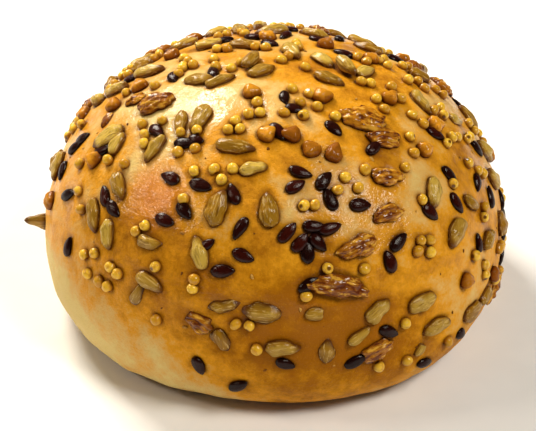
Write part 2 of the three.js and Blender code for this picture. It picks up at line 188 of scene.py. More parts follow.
def direction_at(azimuth, rise):
    across = np.cos(rise)
    return np.stack([across * np.cos(azimuth), across * np.sin(azimuth), np.sin(rise)], axis=-1)


def crust_reach(direction):
    """How far the crust lies from the loaf's middle along unit directions."""
    height = direction[..., 2]
    is_crown = height > 0
    across = np.hypot(direction[..., 0], direction[..., 1]) / GIRTH_RADIUS
    power = np.where(is_crown, CROWN_POWER, UNDERSIDE_POWER)
    rise = np.abs(height) / np.where(is_crown, CROWN_RISE, UNDERSIDE_DEPTH)
    reach = (across**power + rise**power) ** (-1 / power)
    for wave, phase, lump in LUMPS:
        reach = reach + lump * np.sin(direction @ np.array(wave) + phase)
    to_foot = (GIRTH_HEIGHT + FOOT_SINK) / np.maximum(-height, TINY)
    under = (reach**-FOOT_BLEND + to_foot**-FOOT_BLEND) ** (-1 / FOOT_BLEND)
    return np.where(is_crown, reach, under)


def crust_point(direction):
    return direction * crust_reach(direction)[..., None] + MIDDLE


def crust_normal(direction):
    """The outward normal, from two short steps along the crust."""
    side = np.stack([-direction[..., 1], direction[..., 0], 0 * direction[..., 0]], axis=-1)
    is_pole = np.linalg.norm(side, axis=-1, keepdims=True) < POLE_WIDTH
    side = unit(np.where(is_pole, RIGHT, side))
    over = np.cross(direction, side)

    def slope(axis):
        ahead = crust_point(unit(direction + axis * NORMAL_STEP))
        return ahead - crust_point(unit(direction - axis * NORMAL_STEP))

    normal = unit(np.cross(slope(side), slope(over)))
    outward = np.sum(normal * direction, axis=-1, keepdims=True) >= 0
    return np.where(outward, normal, -normal)


def rim_rise(azimuth):
    """The rise, below the girth, at which the flank meets the foot's plane."""
    low = np.full_like(azimuth, STEEPEST_RIM)
    high = np.zeros_like(azimuth)
    for _ in range(HALVINGS):
        rise = (low + high) / 2
        under = crust_point(direction_at(azimuth, rise))[..., 2] < 0
        low = np.where(under, rise, low)
        high = np.where(under, high, rise)
    return high


# Where the seeds lie

# The camera's axes: to its right, up in its picture, and from the roll to the camera
RIGHT = np.array([1, 0, 0])
UPWARD = np.array([0, math.sin(VIEW_ELEVATION), math.cos(VIEW_ELEVATION)])
BACK = np.array([0, -math.cos(VIEW_ELEVATION), math.sin(VIEW_ELEVATION)])
EYE = VIEW_AIM + BACK * VIEW_DISTANCE


def direction_seen_at(right, up):
    """The direction, from the loaf's middle, of the spot at a place in the camera's view."""
    ray = VIEW_AIM + RIGHT * right + UPWARD * up - EYE
    outside = 0.0
    inside = (MIDDLE - EYE) @ ray / (ray @ ray)
    for _ in range(HALVINGS):
        share = (outside + inside) / 2
        place = EYE + ray * share - MIDDLE
        if np.linalg.norm(place) > crust_reach(unit(place)):
            outside = share
        else:
            inside = share
    return unit(EYE + ray * inside - MIDDLE)


def resting_spot(kind, direction, heading, scale=1, lift=0, lean=0, margin=0):
    """A seed that lies on the crust: its place, and its long, wide and upward axes."""
    normal = crust_normal(direction)
    long = unit(heading - (heading @ normal) * normal)
    up = normal * math.cos(lean) + np.cross(long, normal) * math.sin(lean)
    foot = crust_point(direction)
    seed = SEEDS[kind]
    height = scale * seed["size"][2] * (0.5 - seed["sunk"]) + lift
    return dict(kind=kind, direction=direction, foot=foot, place=foot + normal * height,
                axes=np.array([long, np.cross(up, long), up]), scale=scale,
                room=seed["room"] + margin)


def front_spots():
    """The seeds that are listed one by one; a short row ends with the usual numbers."""
    spots = []
    for kind, rows in FRONT_SEEDS.items():
        usual = SEEDS[kind]["size"][0]
        for row in rows:
            right, up, turn, length, lift = row + [0, usual, 0][len(row) - 2:]
            angle = math.radians(turn)
            direction = direction_seen_at(right, up)
            ahead = direction_seen_at(right + math.cos(angle), up + math.sin(angle))
            heading = crust_point(ahead) - crust_point(direction)
            spots.append(resting_spot(kind, direction, heading, length / usual, lift,
                                      margin=LAID_MARGIN))
    return spots


def is_taken(direction, kind, spots):
    """Whether a spot is in the middle of the front or too close to a seed that is laid already."""
    if direction @ BACK > math.cos(LAID_SPREAD):
        return True
    place = crust_point(direction)
    feet = np.array([spot["foot"] for spot in spots])
    rooms = np.array([spot["room"] for spot in spots])
    return np.any(np.linalg.norm(feet - place, axis=1) < rooms + SEEDS[kind]["room"])


def scatter(spots, counts, draw):
    """Adds seeds over the rest of the crown, kind by kind."""
    for kind, count in counts.items():
        last = None
        laid = 0
        while laid < count:
            height = draw() * 2 - 1
            azimuth = draw() * 2 * math.pi
            turn = draw() * 2 * math.pi
            lean = (draw() * 2 - 1) * LEAN
            is_paired = draw() < MILLET_PAIRING and kind == "millet" and last is not None
            direction = direction_at(azimuth, math.asin(height))
            if is_paired:
                aside = unit(np.cross(direction, last))
                direction = unit(last + aside * SEEDS[kind]["size"][1] / crust_reach(last))
            if math.acos(float(direction @ SEEDED_AXIS)) > SEEDED_SPREAD:
                continue
            if not is_paired and is_taken(direction, kind, spots):
                continue
            heading = direction_at(turn, 0.0) + np.array([0, 0, math.sin(turn)])
            spots.append(resting_spot(kind, direction, heading, lean=lean))
            last = None if is_paired else direction
            laid += 1


def standing_spot():
    """The kernel that stands out from the flank on its blunt end."""
    direction = direction_at(STANDING_AZIMUTH, STANDING_RISE)
    long = crust_normal(direction)
    wide = unit(np.cross(np.array([0, 1, 0]), long))
    foot = crust_point(direction)
    height = SEEDS["sunflower"]["size"][0] * (0.5 - STANDING_SUNK_LENGTH)
    axes = np.array([long, wide, np.cross(long, wide)])
    return dict(kind="sunflower", direction=direction, foot=foot, place=foot + long * height,
                axes=axes, scale=1, stands=True)


def all_spots():
    """Every seed: laid, scattered as in the solid, scattered only here, and standing."""
    draw = Draw(DRAW_SEED)
    spots = front_spots()
    scatter(spots, {kind: seed["scattered"] for kind, seed in SEEDS.items()}, draw)
    scatter(spots, {kind: seed["extra"] for kind, seed in SEEDS.items()}, draw)
    spots.append(standing_spot())
    return spots


# Meshes

def add_object(name, data):
    thing = bpy.data.objects.new(name, data)
    bpy.context.scene.collection.objects.link(thing)
    return thing


def make_piece(name, vertices, faces, material, attributes):
    """A mesh piece from millimetre vertices, with point attributes of one or three numbers."""
    mesh = bpy.data.meshes.new(name)
    mesh.from_pydata((vertices * MM).tolist(), [], faces)
    for key, values in attributes.items():
        is_vector = values.ndim == 2
        layer = mesh.attributes.new(key, "FLOAT_VECTOR" if is_vector else "FLOAT", "POINT")
        field = "vector" if is_vector else "value"
        layer.data.foreach_set(field, values.astype(np.float32).ravel())
    mesh.shade_smooth()
    mesh.materials.append(material)
    return add_object(name, mesh)


def closed_faces(segments, rows):
    """The faces of a closed form: a first point, rows of points round it, and a last point."""
    last = 1 + rows * segments
    faces = []
    for j in range(segments):
        k = (j + 1) % segments
        faces.append((0, 1 + j, 1 + k))
        for i in range(rows - 1):
            row = 1 + i * segments
            below = row + segments
            faces.append((row + j, below + j, below + k, row + k))
        row = last - segments
        faces.append((row + k, row + j, last))
    return faces


def ball(segments, rings):
    """A ball of radius 1 with its poles on X: vertices and faces."""
    slope = np.linspace(0, math.pi, rings + 1)[1:-1, None]
    turn = np.linspace(0, 2 * math.pi, segments, endpoint=False)[None, :]
    belt = np.stack(
        np.broadcast_arrays(np.cos(slope), np.sin(slope) * np.cos(turn), np.sin(slope) * np.sin(turn)),
        axis=-1,
    ).reshape(-1, 3)
    vertices = np.vstack([[[1.0, 0, 0]], belt, [[-1.0, 0, 0]]])
    return vertices, closed_faces(segments, rings - 1)


def wobble(points, wavelength, chance, waves=5):
    """Smooth noise between about -1 and 1, made of a few waves in random directions."""
    total = np.zeros(len(points))
    for _ in range(waves):
        wave = unit(chance.normal(size=3)) * 2 * math.pi / wavelength
        total += np.sin(points @ wave + chance.uniform(0, 2 * math.pi))
    return total / math.sqrt(waves)


def round_axis(points):
    """How far across and how far up the points of a ball lie, as shares of their ring's radius."""
    ring = np.maximum(1 - points[:, 0] ** 2, TINY) ** 0.5
    return points[:, 1] / ring, points[:, 2] / ring


def drop_outline(along, bluntness, pointing):
    """A drop's width along its length from -1, its blunt end, to 1, its point; 1 at its widest."""
    outline = np.maximum(1 + along, 0) ** bluntness * np.maximum(1 - along, 0) ** pointing
    return outline / outline.max()


KERNEL_BLUNTNESS = 0.4
KERNEL_POINTING = (0.5, 0.78)
KERNEL_FLATNESS = 0.75
KERNEL_THINNING = 0.7  # towards its ends, as a power of its outline
KERNEL_KEEL = 0.12
KEEL_SHARPNESS = 6
KERNEL_BEND = 0.3
KERNEL_UNEVENNESS = (0.2, 0.7, 1.0)  # along, across and up
LOST_TIP_CHANCE = 0.12
LOST_TIP_PLACE = (0.05, 0.3)  # as shares of the length
LOST_TIP_RAGGEDNESS = 0.12


def kernel_form(points, size, chance):
    """A flattened teardrop, blunt behind and pointed in front, with a soft keel on top.

    Some have lost their tip.
    """
    length, width, thickness = size
    x = points[:, 0]
    outline = drop_outline(x, KERNEL_BLUNTNESS, chance.uniform(*KERNEL_POINTING))
    across, up = round_axis(points)
    keel = 1 + KERNEL_KEEL * np.maximum(up, 0) ** KEEL_SHARPNESS
    rounded = np.sign(up) * np.abs(up) ** KERNEL_FLATNESS
    form = np.stack(
        [
            x * length / 2,
            across * outline * width / 2,
            rounded * outline**KERNEL_THINNING * keel * thickness / 2,
        ],
        axis=-1,
    )
    form[:, 1] += chance.uniform(-KERNEL_BEND, KERNEL_BEND) * (x * x - 0.4)
    form[:, 2] -= chance.uniform(0, KERNEL_BEND) * (x * x - 0.3)
    dents = 0.12 * wobble(form, 2.8, chance)
    grooves = 0.08 * wobble(form * [0.25, 1, 1], 1.1, chance)
    form = form * (1 + (dents + grooves)[:, None] * KERNEL_UNEVENNESS)
    has_lost_tip = chance.random() < LOST_TIP_CHANCE
    break_at = length * (chance.uniform(*LOST_TIP_PLACE) if has_lost_tip else 1)
    ragged = break_at + LOST_TIP_RAGGEDNESS * wobble(form, 1.0, chance)
    form[:, 0] = np.minimum(form[:, 0], ragged)
    return form


LINSEED_BLUNTNESS = 0.5
LINSEED_POINTING = 0.72
LINSEED_THINNING = 0.9
LINSEED_HOOK = 0.16
LINSEED_UNEVENNESS = 0.03


def linseed_form(points, size, chance):
    """A slim flat drop with a slightly hooked tip."""
    length, width, thickness = size
    x = points[:, 0]
    outline = drop_outline(x, LINSEED_BLUNTNESS, LINSEED_POINTING)
    across, up = round_axis(points)
    form = np.stack(
        [
            x * length / 2,
            across * outline * width / 2,
            up * outline**LINSEED_THINNING * thickness / 2,
        ],
        axis=-1,
    )
    hooks_left = chance.random() < 0.5
    form[:, 1] += (LINSEED_HOOK if hooks_left else -LINSEED_HOOK) * np.maximum(x, 0) ** 3
    return form * (1 + LINSEED_UNEVENNESS * wobble(form, 2.5, chance)[:, None])


DIMPLE_DEPTH = 0.16
DIMPLE_WIDTH = 0.1
MILLET_UNEVENNESS = 0.04


def millet_form(points, size, chance):
    """A small ball, a little flattened, with a dimple at one end."""
    form = points * np.array(size) / 2
    dimple = np.exp(-((1 - points[:, 0]) / DIMPLE_WIDTH))
    form = form * (1 + MILLET_UNEVENNESS * wobble(form, 1.8, chance)[:, None])
    form[:, 0] -= DIMPLE_DEPTH * dimple
    return form


GROAT_CORNERS = 3
GROAT_CORNER = 0.07
GROAT_WARP = 0.16
CREASE_DEPTH = 0.13
CREASE_WIDTH = 0.16
CREASE_TURN = 0.3


def groat_form(points, size, chance):
    """A round grain with three soft corners and a crease on one side."""
    turn = np.arctan2(points[:, 1], points[:, 0])
    flat = np.hypot(points[:, 0], points[:, 1])
    corner = 1 + GROAT_CORNER * np.cos(GROAT_CORNERS * turn) * flat
    form = points * corner[:, None] * np.array(size) / 2
    form[:, 2] += GROAT_WARP * flat**2 * np.cos(GROAT_CORNERS * turn)
    dents = wobble(form, 2.4, chance) * 0.07 + wobble(form, 0.9, chance) * 0.02
    from_crease = (points[:, 1] - CREASE_TURN * points[:, 0]) / CREASE_WIDTH
    crease = np.exp(-(from_crease**2)) * np.maximum(points[:, 2], 0)
    return form * (1 + dents - CREASE_DEPTH * crease)[:, None]


# The torn edge of a flake: how many tears go round it, and how deep they are
FLAKE_TEARS = ((2, 0.08), (3, 0.1), (5, 0.07), (8, 0.035), (13, 0.015))
FLAKE_FOLD_WIDTH = (1.3, 1.9)
FLAKE_FOLD_BEND = 0.9
FLAKE_FOLD_DEPTH = 0.6
FLAKE_FOLD_ROUNDNESS = 0.6  # below 1, the tops are round and the bottoms sharp
FLAKE_FOLD_MIDDLE = 0.6
FLAKE_UNEVENNESS = 0.06


def flake_form(points, size, chance):
    """A toasted and crushed grain: torn at the edge, with long rolled folds on top."""
    turn = np.arctan2(points[:, 1], points[:, 0])
    flat = np.hypot(points[:, 0], points[:, 1])
    torn = np.ones(len(points))
    for tears, depth in FLAKE_TEARS:
        torn += flat**3 * depth * np.sin(tears * turn + chance.uniform(0, 2 * math.pi))
    form = points * torn[:, None] * np.array(size) / 2
    bend = FLAKE_FOLD_BEND * wobble(form * [1, 0.4, 1], 4.5, chance)
    fold = np.abs(np.sin(form[:, 1] * math.pi / chance.uniform(*FLAKE_FOLD_WIDTH) + bend))
    crumple = FLAKE_FOLD_DEPTH * (fold**FLAKE_FOLD_ROUNDNESS - FLAKE_FOLD_MIDDLE)
    crumple += 0.12 * wobble(form, 1.5, chance) + 0.03 * wobble(form, 0.6, chance)
    form[:, 2] += np.maximum(points[:, 2], 0) ** 0.7 * crumple
    return form * (1 + FLAKE_UNEVENNESS * wobble(form, 1.6, chance)[:, None])


# Each kind's form, its segments and rings, and how far its length, width and thickness vary
FORMS = {
    "sunflower": (kernel_form, 26, 22, (0.1, 0.2, 0.12)),
    "flake": (flake_form, 44, 34, (0.16, 0.2, 0.15)),
    "groat": (groat_form, 24, 18, (0.1, 0.1, 0.1)),
    "linseed": (linseed_form, 20, 18, (0.07, 0.08, 0.1)),
    "millet": (millet_form, 14, 12, (0.08, 0.08, 0.08)),
}
FORM_SEED = 7
ROOT_SHARE = 0.55  # the share of a seed's thickness above the crust over which its root fades


def random_turn(chance):
    """A random rotation, as three unit rows."""
    first = unit(chance.normal(size=3))
    second = unit(np.cross(first, chance.normal(size=3)))
    return np.array([first, second, np.cross(first, second)])


def seeds_piece(kind, spots, name, material):
    """All the seeds of one kind as one joined mesh; millet lies any way round."""
    form, segments, rings, variety = FORMS[kind]
    points, pattern = ball(segments, rings)
    chance = np.random.default_rng([FORM_SEED, list(SEEDS).index(kind)])
    is_millet = kind == "millet"
    vertices, faces, local, tone, root = [], [], [], [], []
    for index, spot in enumerate(spots):
        spread = np.array(variety) * chance.uniform(-1, 1, 3)
        size = np.array(SEEDS[kind]["size"]) * spot["scale"] * (1 + spread)
        shape = form(points, size, chance)
        local.append(points if is_millet else shape)
        if is_millet:
            shape = shape @ random_turn(chance)
        vertices.append(shape @ spot["axes"] + spot["place"])
        faces += [tuple(index * len(points) + corner for corner in face) for face in pattern]
        tone.append(np.full(len(points), chance.random()))
        above = (vertices[-1] - spot["foot"]) @ crust_normal(spot["direction"])
        root.append(np.clip(1 - above / (ROOT_SHARE * size[2]), 0, 1))
    attributes = {
        "local": np.vstack(local),
        "tone": np.concatenate(tone),
        "root": np.concatenate(root),
    }
    return make_piece(name, np.vstack(vertices), faces, material, attributes)


SPECK_SEED = 23
SPECK_SIZE = (0.12, 0.34)
SPECK_STRETCH = (1, 2)
SPECK_FLATNESS = 0.6
SPECK_UNEVENNESS = 0.2
SPECK_LIFT = 0.05
SPECK_SPREAD = SEEDED_SPREAD + 0.1


def specks_piece(material):
    """Bran specks and crumbs of seed, caught in the glaze over the whole crown."""
    chance = np.random.default_rng(SPECK_SEED)
    points, pattern = ball(7, 5)
    vertices, faces, tone = [], [], []
    while len(tone) < SPECKS:
        direction = unit(chance.normal(size=3))
        if direction @ SEEDED_AXIS < math.cos(SPECK_SPREAD):
            continue
        radius = chance.uniform(*SPECK_SIZE)
        size = radius * np.array([chance.uniform(*SPECK_STRETCH), 1, SPECK_FLATNESS])
        shape = points * size * (1 + SPECK_UNEVENNESS * wobble(points, 1.5, chance))[:, None]
        normal = crust_normal(direction)
        long = unit(np.cross(normal, chance.normal(size=3)))
        axes = np.array([long, np.cross(normal, long), normal])
        start = len(tone) * len(points)
        vertices.append(shape @ axes + crust_point(direction) + normal * SPECK_LIFT)
        faces += [tuple(start + corner for corner in face) for face in pattern]
        tone.append(np.full(len(points), chance.random()))
    attributes = {"tone": np.concatenate(tone)}
    return make_piece("bran_specks", np.vstack(vertices), faces, material, attributes)


# The dough's small unevenness: wavelength, height and how many waves
DOUGH_WAVES = ((9, 0.1, 9), (4, 0.05, 11), (1.9, 0.018, 13))
DOUGH_SEED = 11
FOOT_FADE = 3  # the height above the foot over which it fades in

# How a seed shapes the crust round it and darkens it, partly with painted shade; what grows is for each
# millimetre of half length
SEED_REACH = 10
SAG_DEPTH = 0.04
SAG_GROWTH = 0.03
SAG_WIDTH = 0.6
SAG_VARIETY = (0.4, 1.4)
HALO_WIDTH = 0.4
HALO_VARIETY = (0.3, 1)
POOL_WIDTH = 0.5
POOL_GROWTH = 0.35
POOL_RUN = 0.5  # the share by which a pool spreads further downhill


def crust_relief(surface, spots):
    """The relief of the crust in millimetres; round the seeds, its dark halos, partly caramel and partly
    painted contact shade, and its browned pools, partly pooled glaze and partly painted shade.
    """
    chance = np.random.default_rng(DOUGH_SEED)
    relief = np.zeros(len(surface))
    for wavelength, height, waves in DOUGH_WAVES:
        relief += height * wobble(surface, wavelength, chance, waves)
    caramel_and_shade_halo = np.zeros(len(surface))
    glaze_and_shade_pool = np.zeros(len(surface))
    for spot in spots:
        near = np.flatnonzero(np.linalg.norm(surface - spot["foot"], axis=1) < SEED_REACH)
        offset = (surface[near] - spot["place"]) @ spot["axes"].T
        half = np.array(SEEDS[spot["kind"]]["size"]) * spot["scale"] / 2
        if spot.get("stands"):
            offset, half = offset[:, 1:], half[1:]
        else:
            offset, half = offset[:, :2], half[:2]
        ratio = np.maximum(np.linalg.norm(offset / half, axis=1), TINY)
        outside = np.maximum(np.linalg.norm(offset, axis=1) * (1 - 1 / ratio), 0)
        depth = (SAG_DEPTH + SAG_GROWTH * half[0]) * chance.uniform(*SAG_VARIETY)
        relief[near] -= depth * np.exp(-((outside / SAG_WIDTH) ** 2))
        # The halo is partly caramel and partly painted contact shade; the pool is partly pooled glaze
        # and partly painted shade on the downhill side
        browned = chance.uniform(*HALO_VARIETY)
        caramel_and_shade_halo[near] = np.maximum(caramel_and_shade_halo[near], browned * np.exp(-((outside / HALO_WIDTH) ** 2)))
        downhill = np.clip(-(surface[near] - spot["place"])[:, 2] / half[0], -1, 1)
        width = (POOL_WIDTH + POOL_GROWTH * half[0]) * (1 + POOL_RUN * downhill)
        glaze_and_shade_pool[near] = np.maximum(glaze_and_shade_pool[near], browned * np.exp(-outside / width))
    relief *= np.clip(surface[:, 2] / FOOT_FADE, 0, 1)
    return relief, caramel_and_shade_halo, glaze_and_shade_pool


def crust_piece(spots, material):
    """The fine crust: dough that sags round each seed, down to the flat foot."""
    azimuth = np.linspace(0, 2 * math.pi, CRUST_SEGMENTS, endpoint=False)[None, :]
    share = np.linspace(0, 1, CRUST_RINGS + 1)[1:, None]
    rise = math.pi / 2 - share * (math.pi / 2 - rim_rise(azimuth))
    direction = direction_at(np.broadcast_to(azimuth, rise.shape), rise).reshape(-1, 3)
    direction = np.vstack([[[0, 0, 1.0]], direction])
    surface = crust_point(direction)
    relief, caramel_and_shade_halo, glaze_and_shade_pool = crust_relief(surface, spots)
    surface = surface + crust_normal(direction) * relief[:, None]
    surface[:, 2] = np.maximum(surface[:, 2], 0)
    surface[-CRUST_SEGMENTS:, 2] = 0

    rim = surface[-CRUST_SEGMENTS:]
    foot = [rim * (1 - ring / FOOT_RINGS) for ring in range(1, FOOT_RINGS)]
    foot = np.vstack([*foot, [[0, 0, 0]]])
    faces = closed_faces(CRUST_SEGMENTS, CRUST_RINGS + FOOT_RINGS - 1)
    under = np.zeros(len(foot))
    attributes = {
        "caramel_and_shade_halo": np.concatenate([caramel_and_shade_halo, under]),
        "glaze_and_shade_pool": np.concatenate([glaze_and_shade_pool, under]),
    }
    return make_piece("crust", np.vstack([surface, foot]), faces, material, attributes)


# Materials

class Shader:
    """A material's node tree, with one short call for each kind of node."""

    def __init__(self, name):
        self.material = bpy.data.materials.new(name)
        self.material.use_nodes = True
        self.nodes = self.material.node_tree.nodes
        self.links = self.material.node_tree.links
        self.nodes.clear()
        self.surface = self.new("BsdfPrincipled")
        self.new("OutputMaterial", Surface=self.surface.outputs[0])

    def put(self, socket, value):
        """Links another node's output to a socket, or sets it to a plain value."""
        if isinstance(value, bpy.types.NodeSocket):
            self.links.new(value, socket)
        else:
            socket.default_value = value

    def fill(self, node, values):
        """Fills a node's sockets by name, with _ for a space."""
        for key, value in values.items():
            self.put(node.inputs[key.replace("_", " ")], value)

    def set(self, **values):
        """Fills sockets of the surface."""
        self.fill(self.surface, values)

    def new(self, kind, **values):
        """A new node of a kind, with sockets filled."""
        node = self.nodes.new("ShaderNode" + kind)
        self.fill(node, values)
        return node

    def place(self):
        """The place on the piece, in metres in the roll's frame."""
        return self.new("TexCoord").outputs["Object"]

    def measure(self, axis):
        """How far a place lies right, back or up from the foot's middle, in millimetres."""
        return self.product(self.split(self.place())[axis], 1 / MM)

    def attribute(self, name, output="Fac"):
        node = self.new("Attribute")
        node.attribute_name = name
        return node.outputs[output]

    def math(self, operation, a, b=0.0, clamp=False):
        node = self.new("Math")
        node.operation = operation
        node.use_clamp = clamp
        self.put(node.inputs[0], a)
        self.put(node.inputs[1], b)
        return node.outputs[0]

    def total(self, *values):
        """The sum of several values."""
        return functools.reduce(lambda a, b: self.math("ADD", a, b), values)

    def product(self, *values):
        """Several values multiplied."""
        return functools.reduce(lambda a, b: self.math("MULTIPLY", a, b), values)

    def split(self, vector):
        return self.new("SeparateXYZ", Vector=vector).outputs

    def stretch(self, vector, scale, offset=(0, 0, 0)):
        return self.new("Mapping", Vector=vector, Scale=scale, Location=offset).outputs[0]

    def noise(self, vector, scale, detail=2.0, roughness=0.5):
        node = self.new("TexNoise", Vector=vector, Scale=scale, Detail=detail, Roughness=roughness)
        return node.outputs["Fac"]

    def span(self, value, low, high, out_low=0.0, out_high=1.0):
        """Smoothly carries the span low to high over to out_low to out_high."""
        node = self.new("MapRange", Value=value, From_Min=low, From_Max=high,
                        To_Min=out_low, To_Max=out_high)
        node.interpolation_type = "SMOOTHSTEP"
        return node.outputs["Result"]

    def mix(self, share, a, b):
        node = self.new("Mix")
        node.data_type = "RGBA"
        self.put(node.inputs[0], share)
        self.put(node.inputs[6], a)
        self.put(node.inputs[7], b)
        return node.outputs[2]

    def layers(self, colour, *coats):
        """A colour with others over it, each by its own share."""
        for share, coat in coats:
            colour = self.mix(share, colour, coat)
        return colour

    def ramp(self, value, stops):
        """Colours along a value: each stop is a place from 0 to 1 and its colour."""
        node = self.new("ValToRGB")
        node.color_ramp.interpolation = "LINEAR"
        while len(node.color_ramp.elements) < len(stops):
            node.color_ramp.elements.new(1)
        for element, (place, colour) in zip(node.color_ramp.elements, stops):
            element.position = place
            element.color = colour
        self.put(node.inputs[0], value)
        return node.outputs[0]

    def bump(self, height, depth, normal=None):
        """Relief from a height of 0 to 1, as deep as a depth in millimetres."""
        node = self.new("Bump", Strength=1.0, Distance=depth * MM, Height=height)
        if normal is not None:
            self.put(node.inputs["Normal"], normal)
        return node.outputs[0]

    def near(self, centre, inner, outer):
        """1 within the inner distance of a place, and 0 from the outer one, in millimetres."""
        node = self.new("VectorMath")
        node.operation = "DISTANCE"
        self.put(node.inputs[0], self.place())
        self.put(node.inputs[1], tuple(centre * MM))
        return self.span(node.outputs["Value"], outer * MM, inner * MM)

    def shut_in(self, distance):
        """0 in the open, and towards 1 where something stands within some millimetres; the materials
        darken their colours by it as painted shade.
        """
        node = self.new("AmbientOcclusion", Distance=distance * MM)
        node.samples = 6
        return self.math("SUBTRACT", 1.0, node.outputs["AO"])


# The axes that a shader measures along
SIDE, DEPTH, UP = range(3)

# Patches on the front: where each lies in the camera's view, up to which distance it is whole
# and from which it has faded out, and how much browner than the rest it is coloured, less than 0 paler
PATCHES = {
    # Paler at the upper left: a painted highlight
    "painted_highlight": dict(seen_at=(-21.5, 17), inner=6, outer=26, browned=-0.24),
    "wrinkled": dict(seen_at=(-25.5, -1.5), inner=2, outer=9.5, browned=0.3),
    # Paler in the middle: a painted reflection of the glaze
    "tan": dict(seen_at=(3, -5), inner=3, outer=15, browned=-0.12),
    # Paler at the lower right: partly paler crust, partly a painted sheen
    "pale": dict(seen_at=(41, -21), inner=4, outer=20, browned=-0.3),
}
LOW_BROWNING_AND_SHADE = 0.52
BAND_BROWNED = -0.48
POOL_BROWNING_AND_SHADE = 0.2
CARAMEL_AND_SHADE_STRENGTH = 0.46
BLISTER_STRENGTH = 0.6
BAND_LEFTWARD = -0.014  # how fast the pale band grows for each millimetre to the left
BAND_FORWARD = -0.004  # and for each millimetre to the front

# The crust's noises: how fine, how many octaves and how rough
LARGE_NOISE = (45, 2.0, 0.5)
MIDDLE_NOISE = (130, 3.0, 0.5)
SMALL_NOISE = (420, 3.0, 0.6)
FINE_NOISE = (1500, 3.0, 0.6)
GRAIN_NOISE = (3200, 3.0, 0.7)
WRINKLE_NOISE = (1100, 2.5, 0.55)
MIDDLE_SHIFT = (0.3, 0.1, 0)
WRINKLE_STRETCH = (1, 1, 1.5)

# Relief in millimetres
FINE_DEPTH = 0.2
GRAIN_DEPTH = 0.14
WRINKLE_DEPTH = 0.24

# Colours, linear
CRUST_PALE = (0.73, 0.54, 0.19, 1)
CRUST_TAN = (0.73, 0.42, 0.11, 1)
CRUST_GOLD = (0.74, 0.315, 0.01, 1)
CRUST_AMBER = (0.43, 0.155, 0.001, 1)
CRUST_RUST = (0.34, 0.112, 0.001, 1)
CRUST_BROWN = (0.16, 0.045, 0.001, 1)
CRUST_GRAIN = (0.86, 0.5, 0.03, 1)
CRUST_BLISTER = (0.68, 0.2, 0.01, 1)
# Painted contact shade round the seeds, partly caramel, and painted shade in the crevices
CARAMEL_AND_SHADE_BROWN = (0.15, 0.043, 0.0004, 1)
FOOT_BROWN = (0.4, 0.2, 0.06, 1)
GLAZE_SHINE = (1, 0.72, 0.35, 1)
SEED_SHINE = (1, 0.82, 0.55, 1)
LINSEED_SHINE = (1, 0.5, 0.25, 1)
KERNEL_VEIN = (0.78, 0.54, 0.18, 1)
KERNEL_TIP = (0.12, 0.035, 0.004, 1)
MILLET_LIGHT = (0.9, 0.55, 0.04, 1)
MILLET_DARK = (0.54, 0.25, 0.006, 1)
MILLET_BLOTCH = (0.5, 0.2, 0.015, 1)
MILLET_ROOT_SHADE = (0.25, 0.08, 0.005, 1)
MILLET_SCAR = (0.09, 0.025, 0.003, 1)
FLAKE_LIGHT = (0.46, 0.17, 0.004, 1)
FLAKE_DARK = (0.2, 0.05, 0.001, 1)
FLAKE_CREST_AND_HIGHLIGHT = (0.76, 0.4, 0.04, 1)
FLAKE_FOLD_AND_SHADE = (0.1, 0.015, 0.0006, 1)
FLAKE_ROOT_SHADE = (0.08, 0.014, 0.0006, 1)
FLAKE_HOLLOW_SHADE = (0.07, 0.011, 0.0004, 1)
SPECK_DARK = (0.16, 0.05, 0.006, 1)
SPECK_LIGHT = (0.62, 0.34, 0.07, 1)
FLOOR_GREY = (0.9, 0.9, 0.895, 1)
FLOOR_WHITE = (0.925, 0.925, 0.92, 1)

# The crust's colours by how far it is browned
BROWNING_STOPS = (
    (0.0, CRUST_PALE), (0.26, CRUST_TAN), (0.5, CRUST_GOLD), (0.82, CRUST_AMBER), (1.0, CRUST_RUST),
)

# Streaked skins: the colour of light seeds, of dark ones, and of streaks and roots, the dark and
# streak colours also standing for painted shade; how fine the streaks are along, across and up;
# and how wet the skin looks
SKINS = {
    "sunflower_kernel": dict(
        light=(0.62, 0.41, 0.065, 1), dark=(0.28, 0.125, 0.002, 1), edge=(0.07, 0.016, 0.0004, 1),
        stripes=(0.3, 2.8, 2.8), coat=0.45,
    ),
    "linseed_skin": dict(
        light=(0.034, 0.002, 0.0004, 1), dark=(0.007, 0.0005, 0.0003, 1),
        edge=(0.003, 0.0003, 0.0002, 1), stripes=(0.9, 2.2, 2.2), coat=0.35,
    ),
    "buckwheat_groat": dict(
        light=(0.7, 0.29, 0.014, 1), dark=(0.22, 0.057, 0.001, 1), edge=(0.08, 0.012, 0.0004, 1),
        stripes=(0.9, 0.9, 0.9), coat=0.35,
    ),
}
VEIN_STRIPES = (0.25, 3.4, 3.4)
VEIN_SHIFT = (5, 0, 0)
FLAKE_STRIPES = (0.35, 1.1, 1.1)
SCARRED_TONE = 0.45  # millet grains with a lower tone have a scar


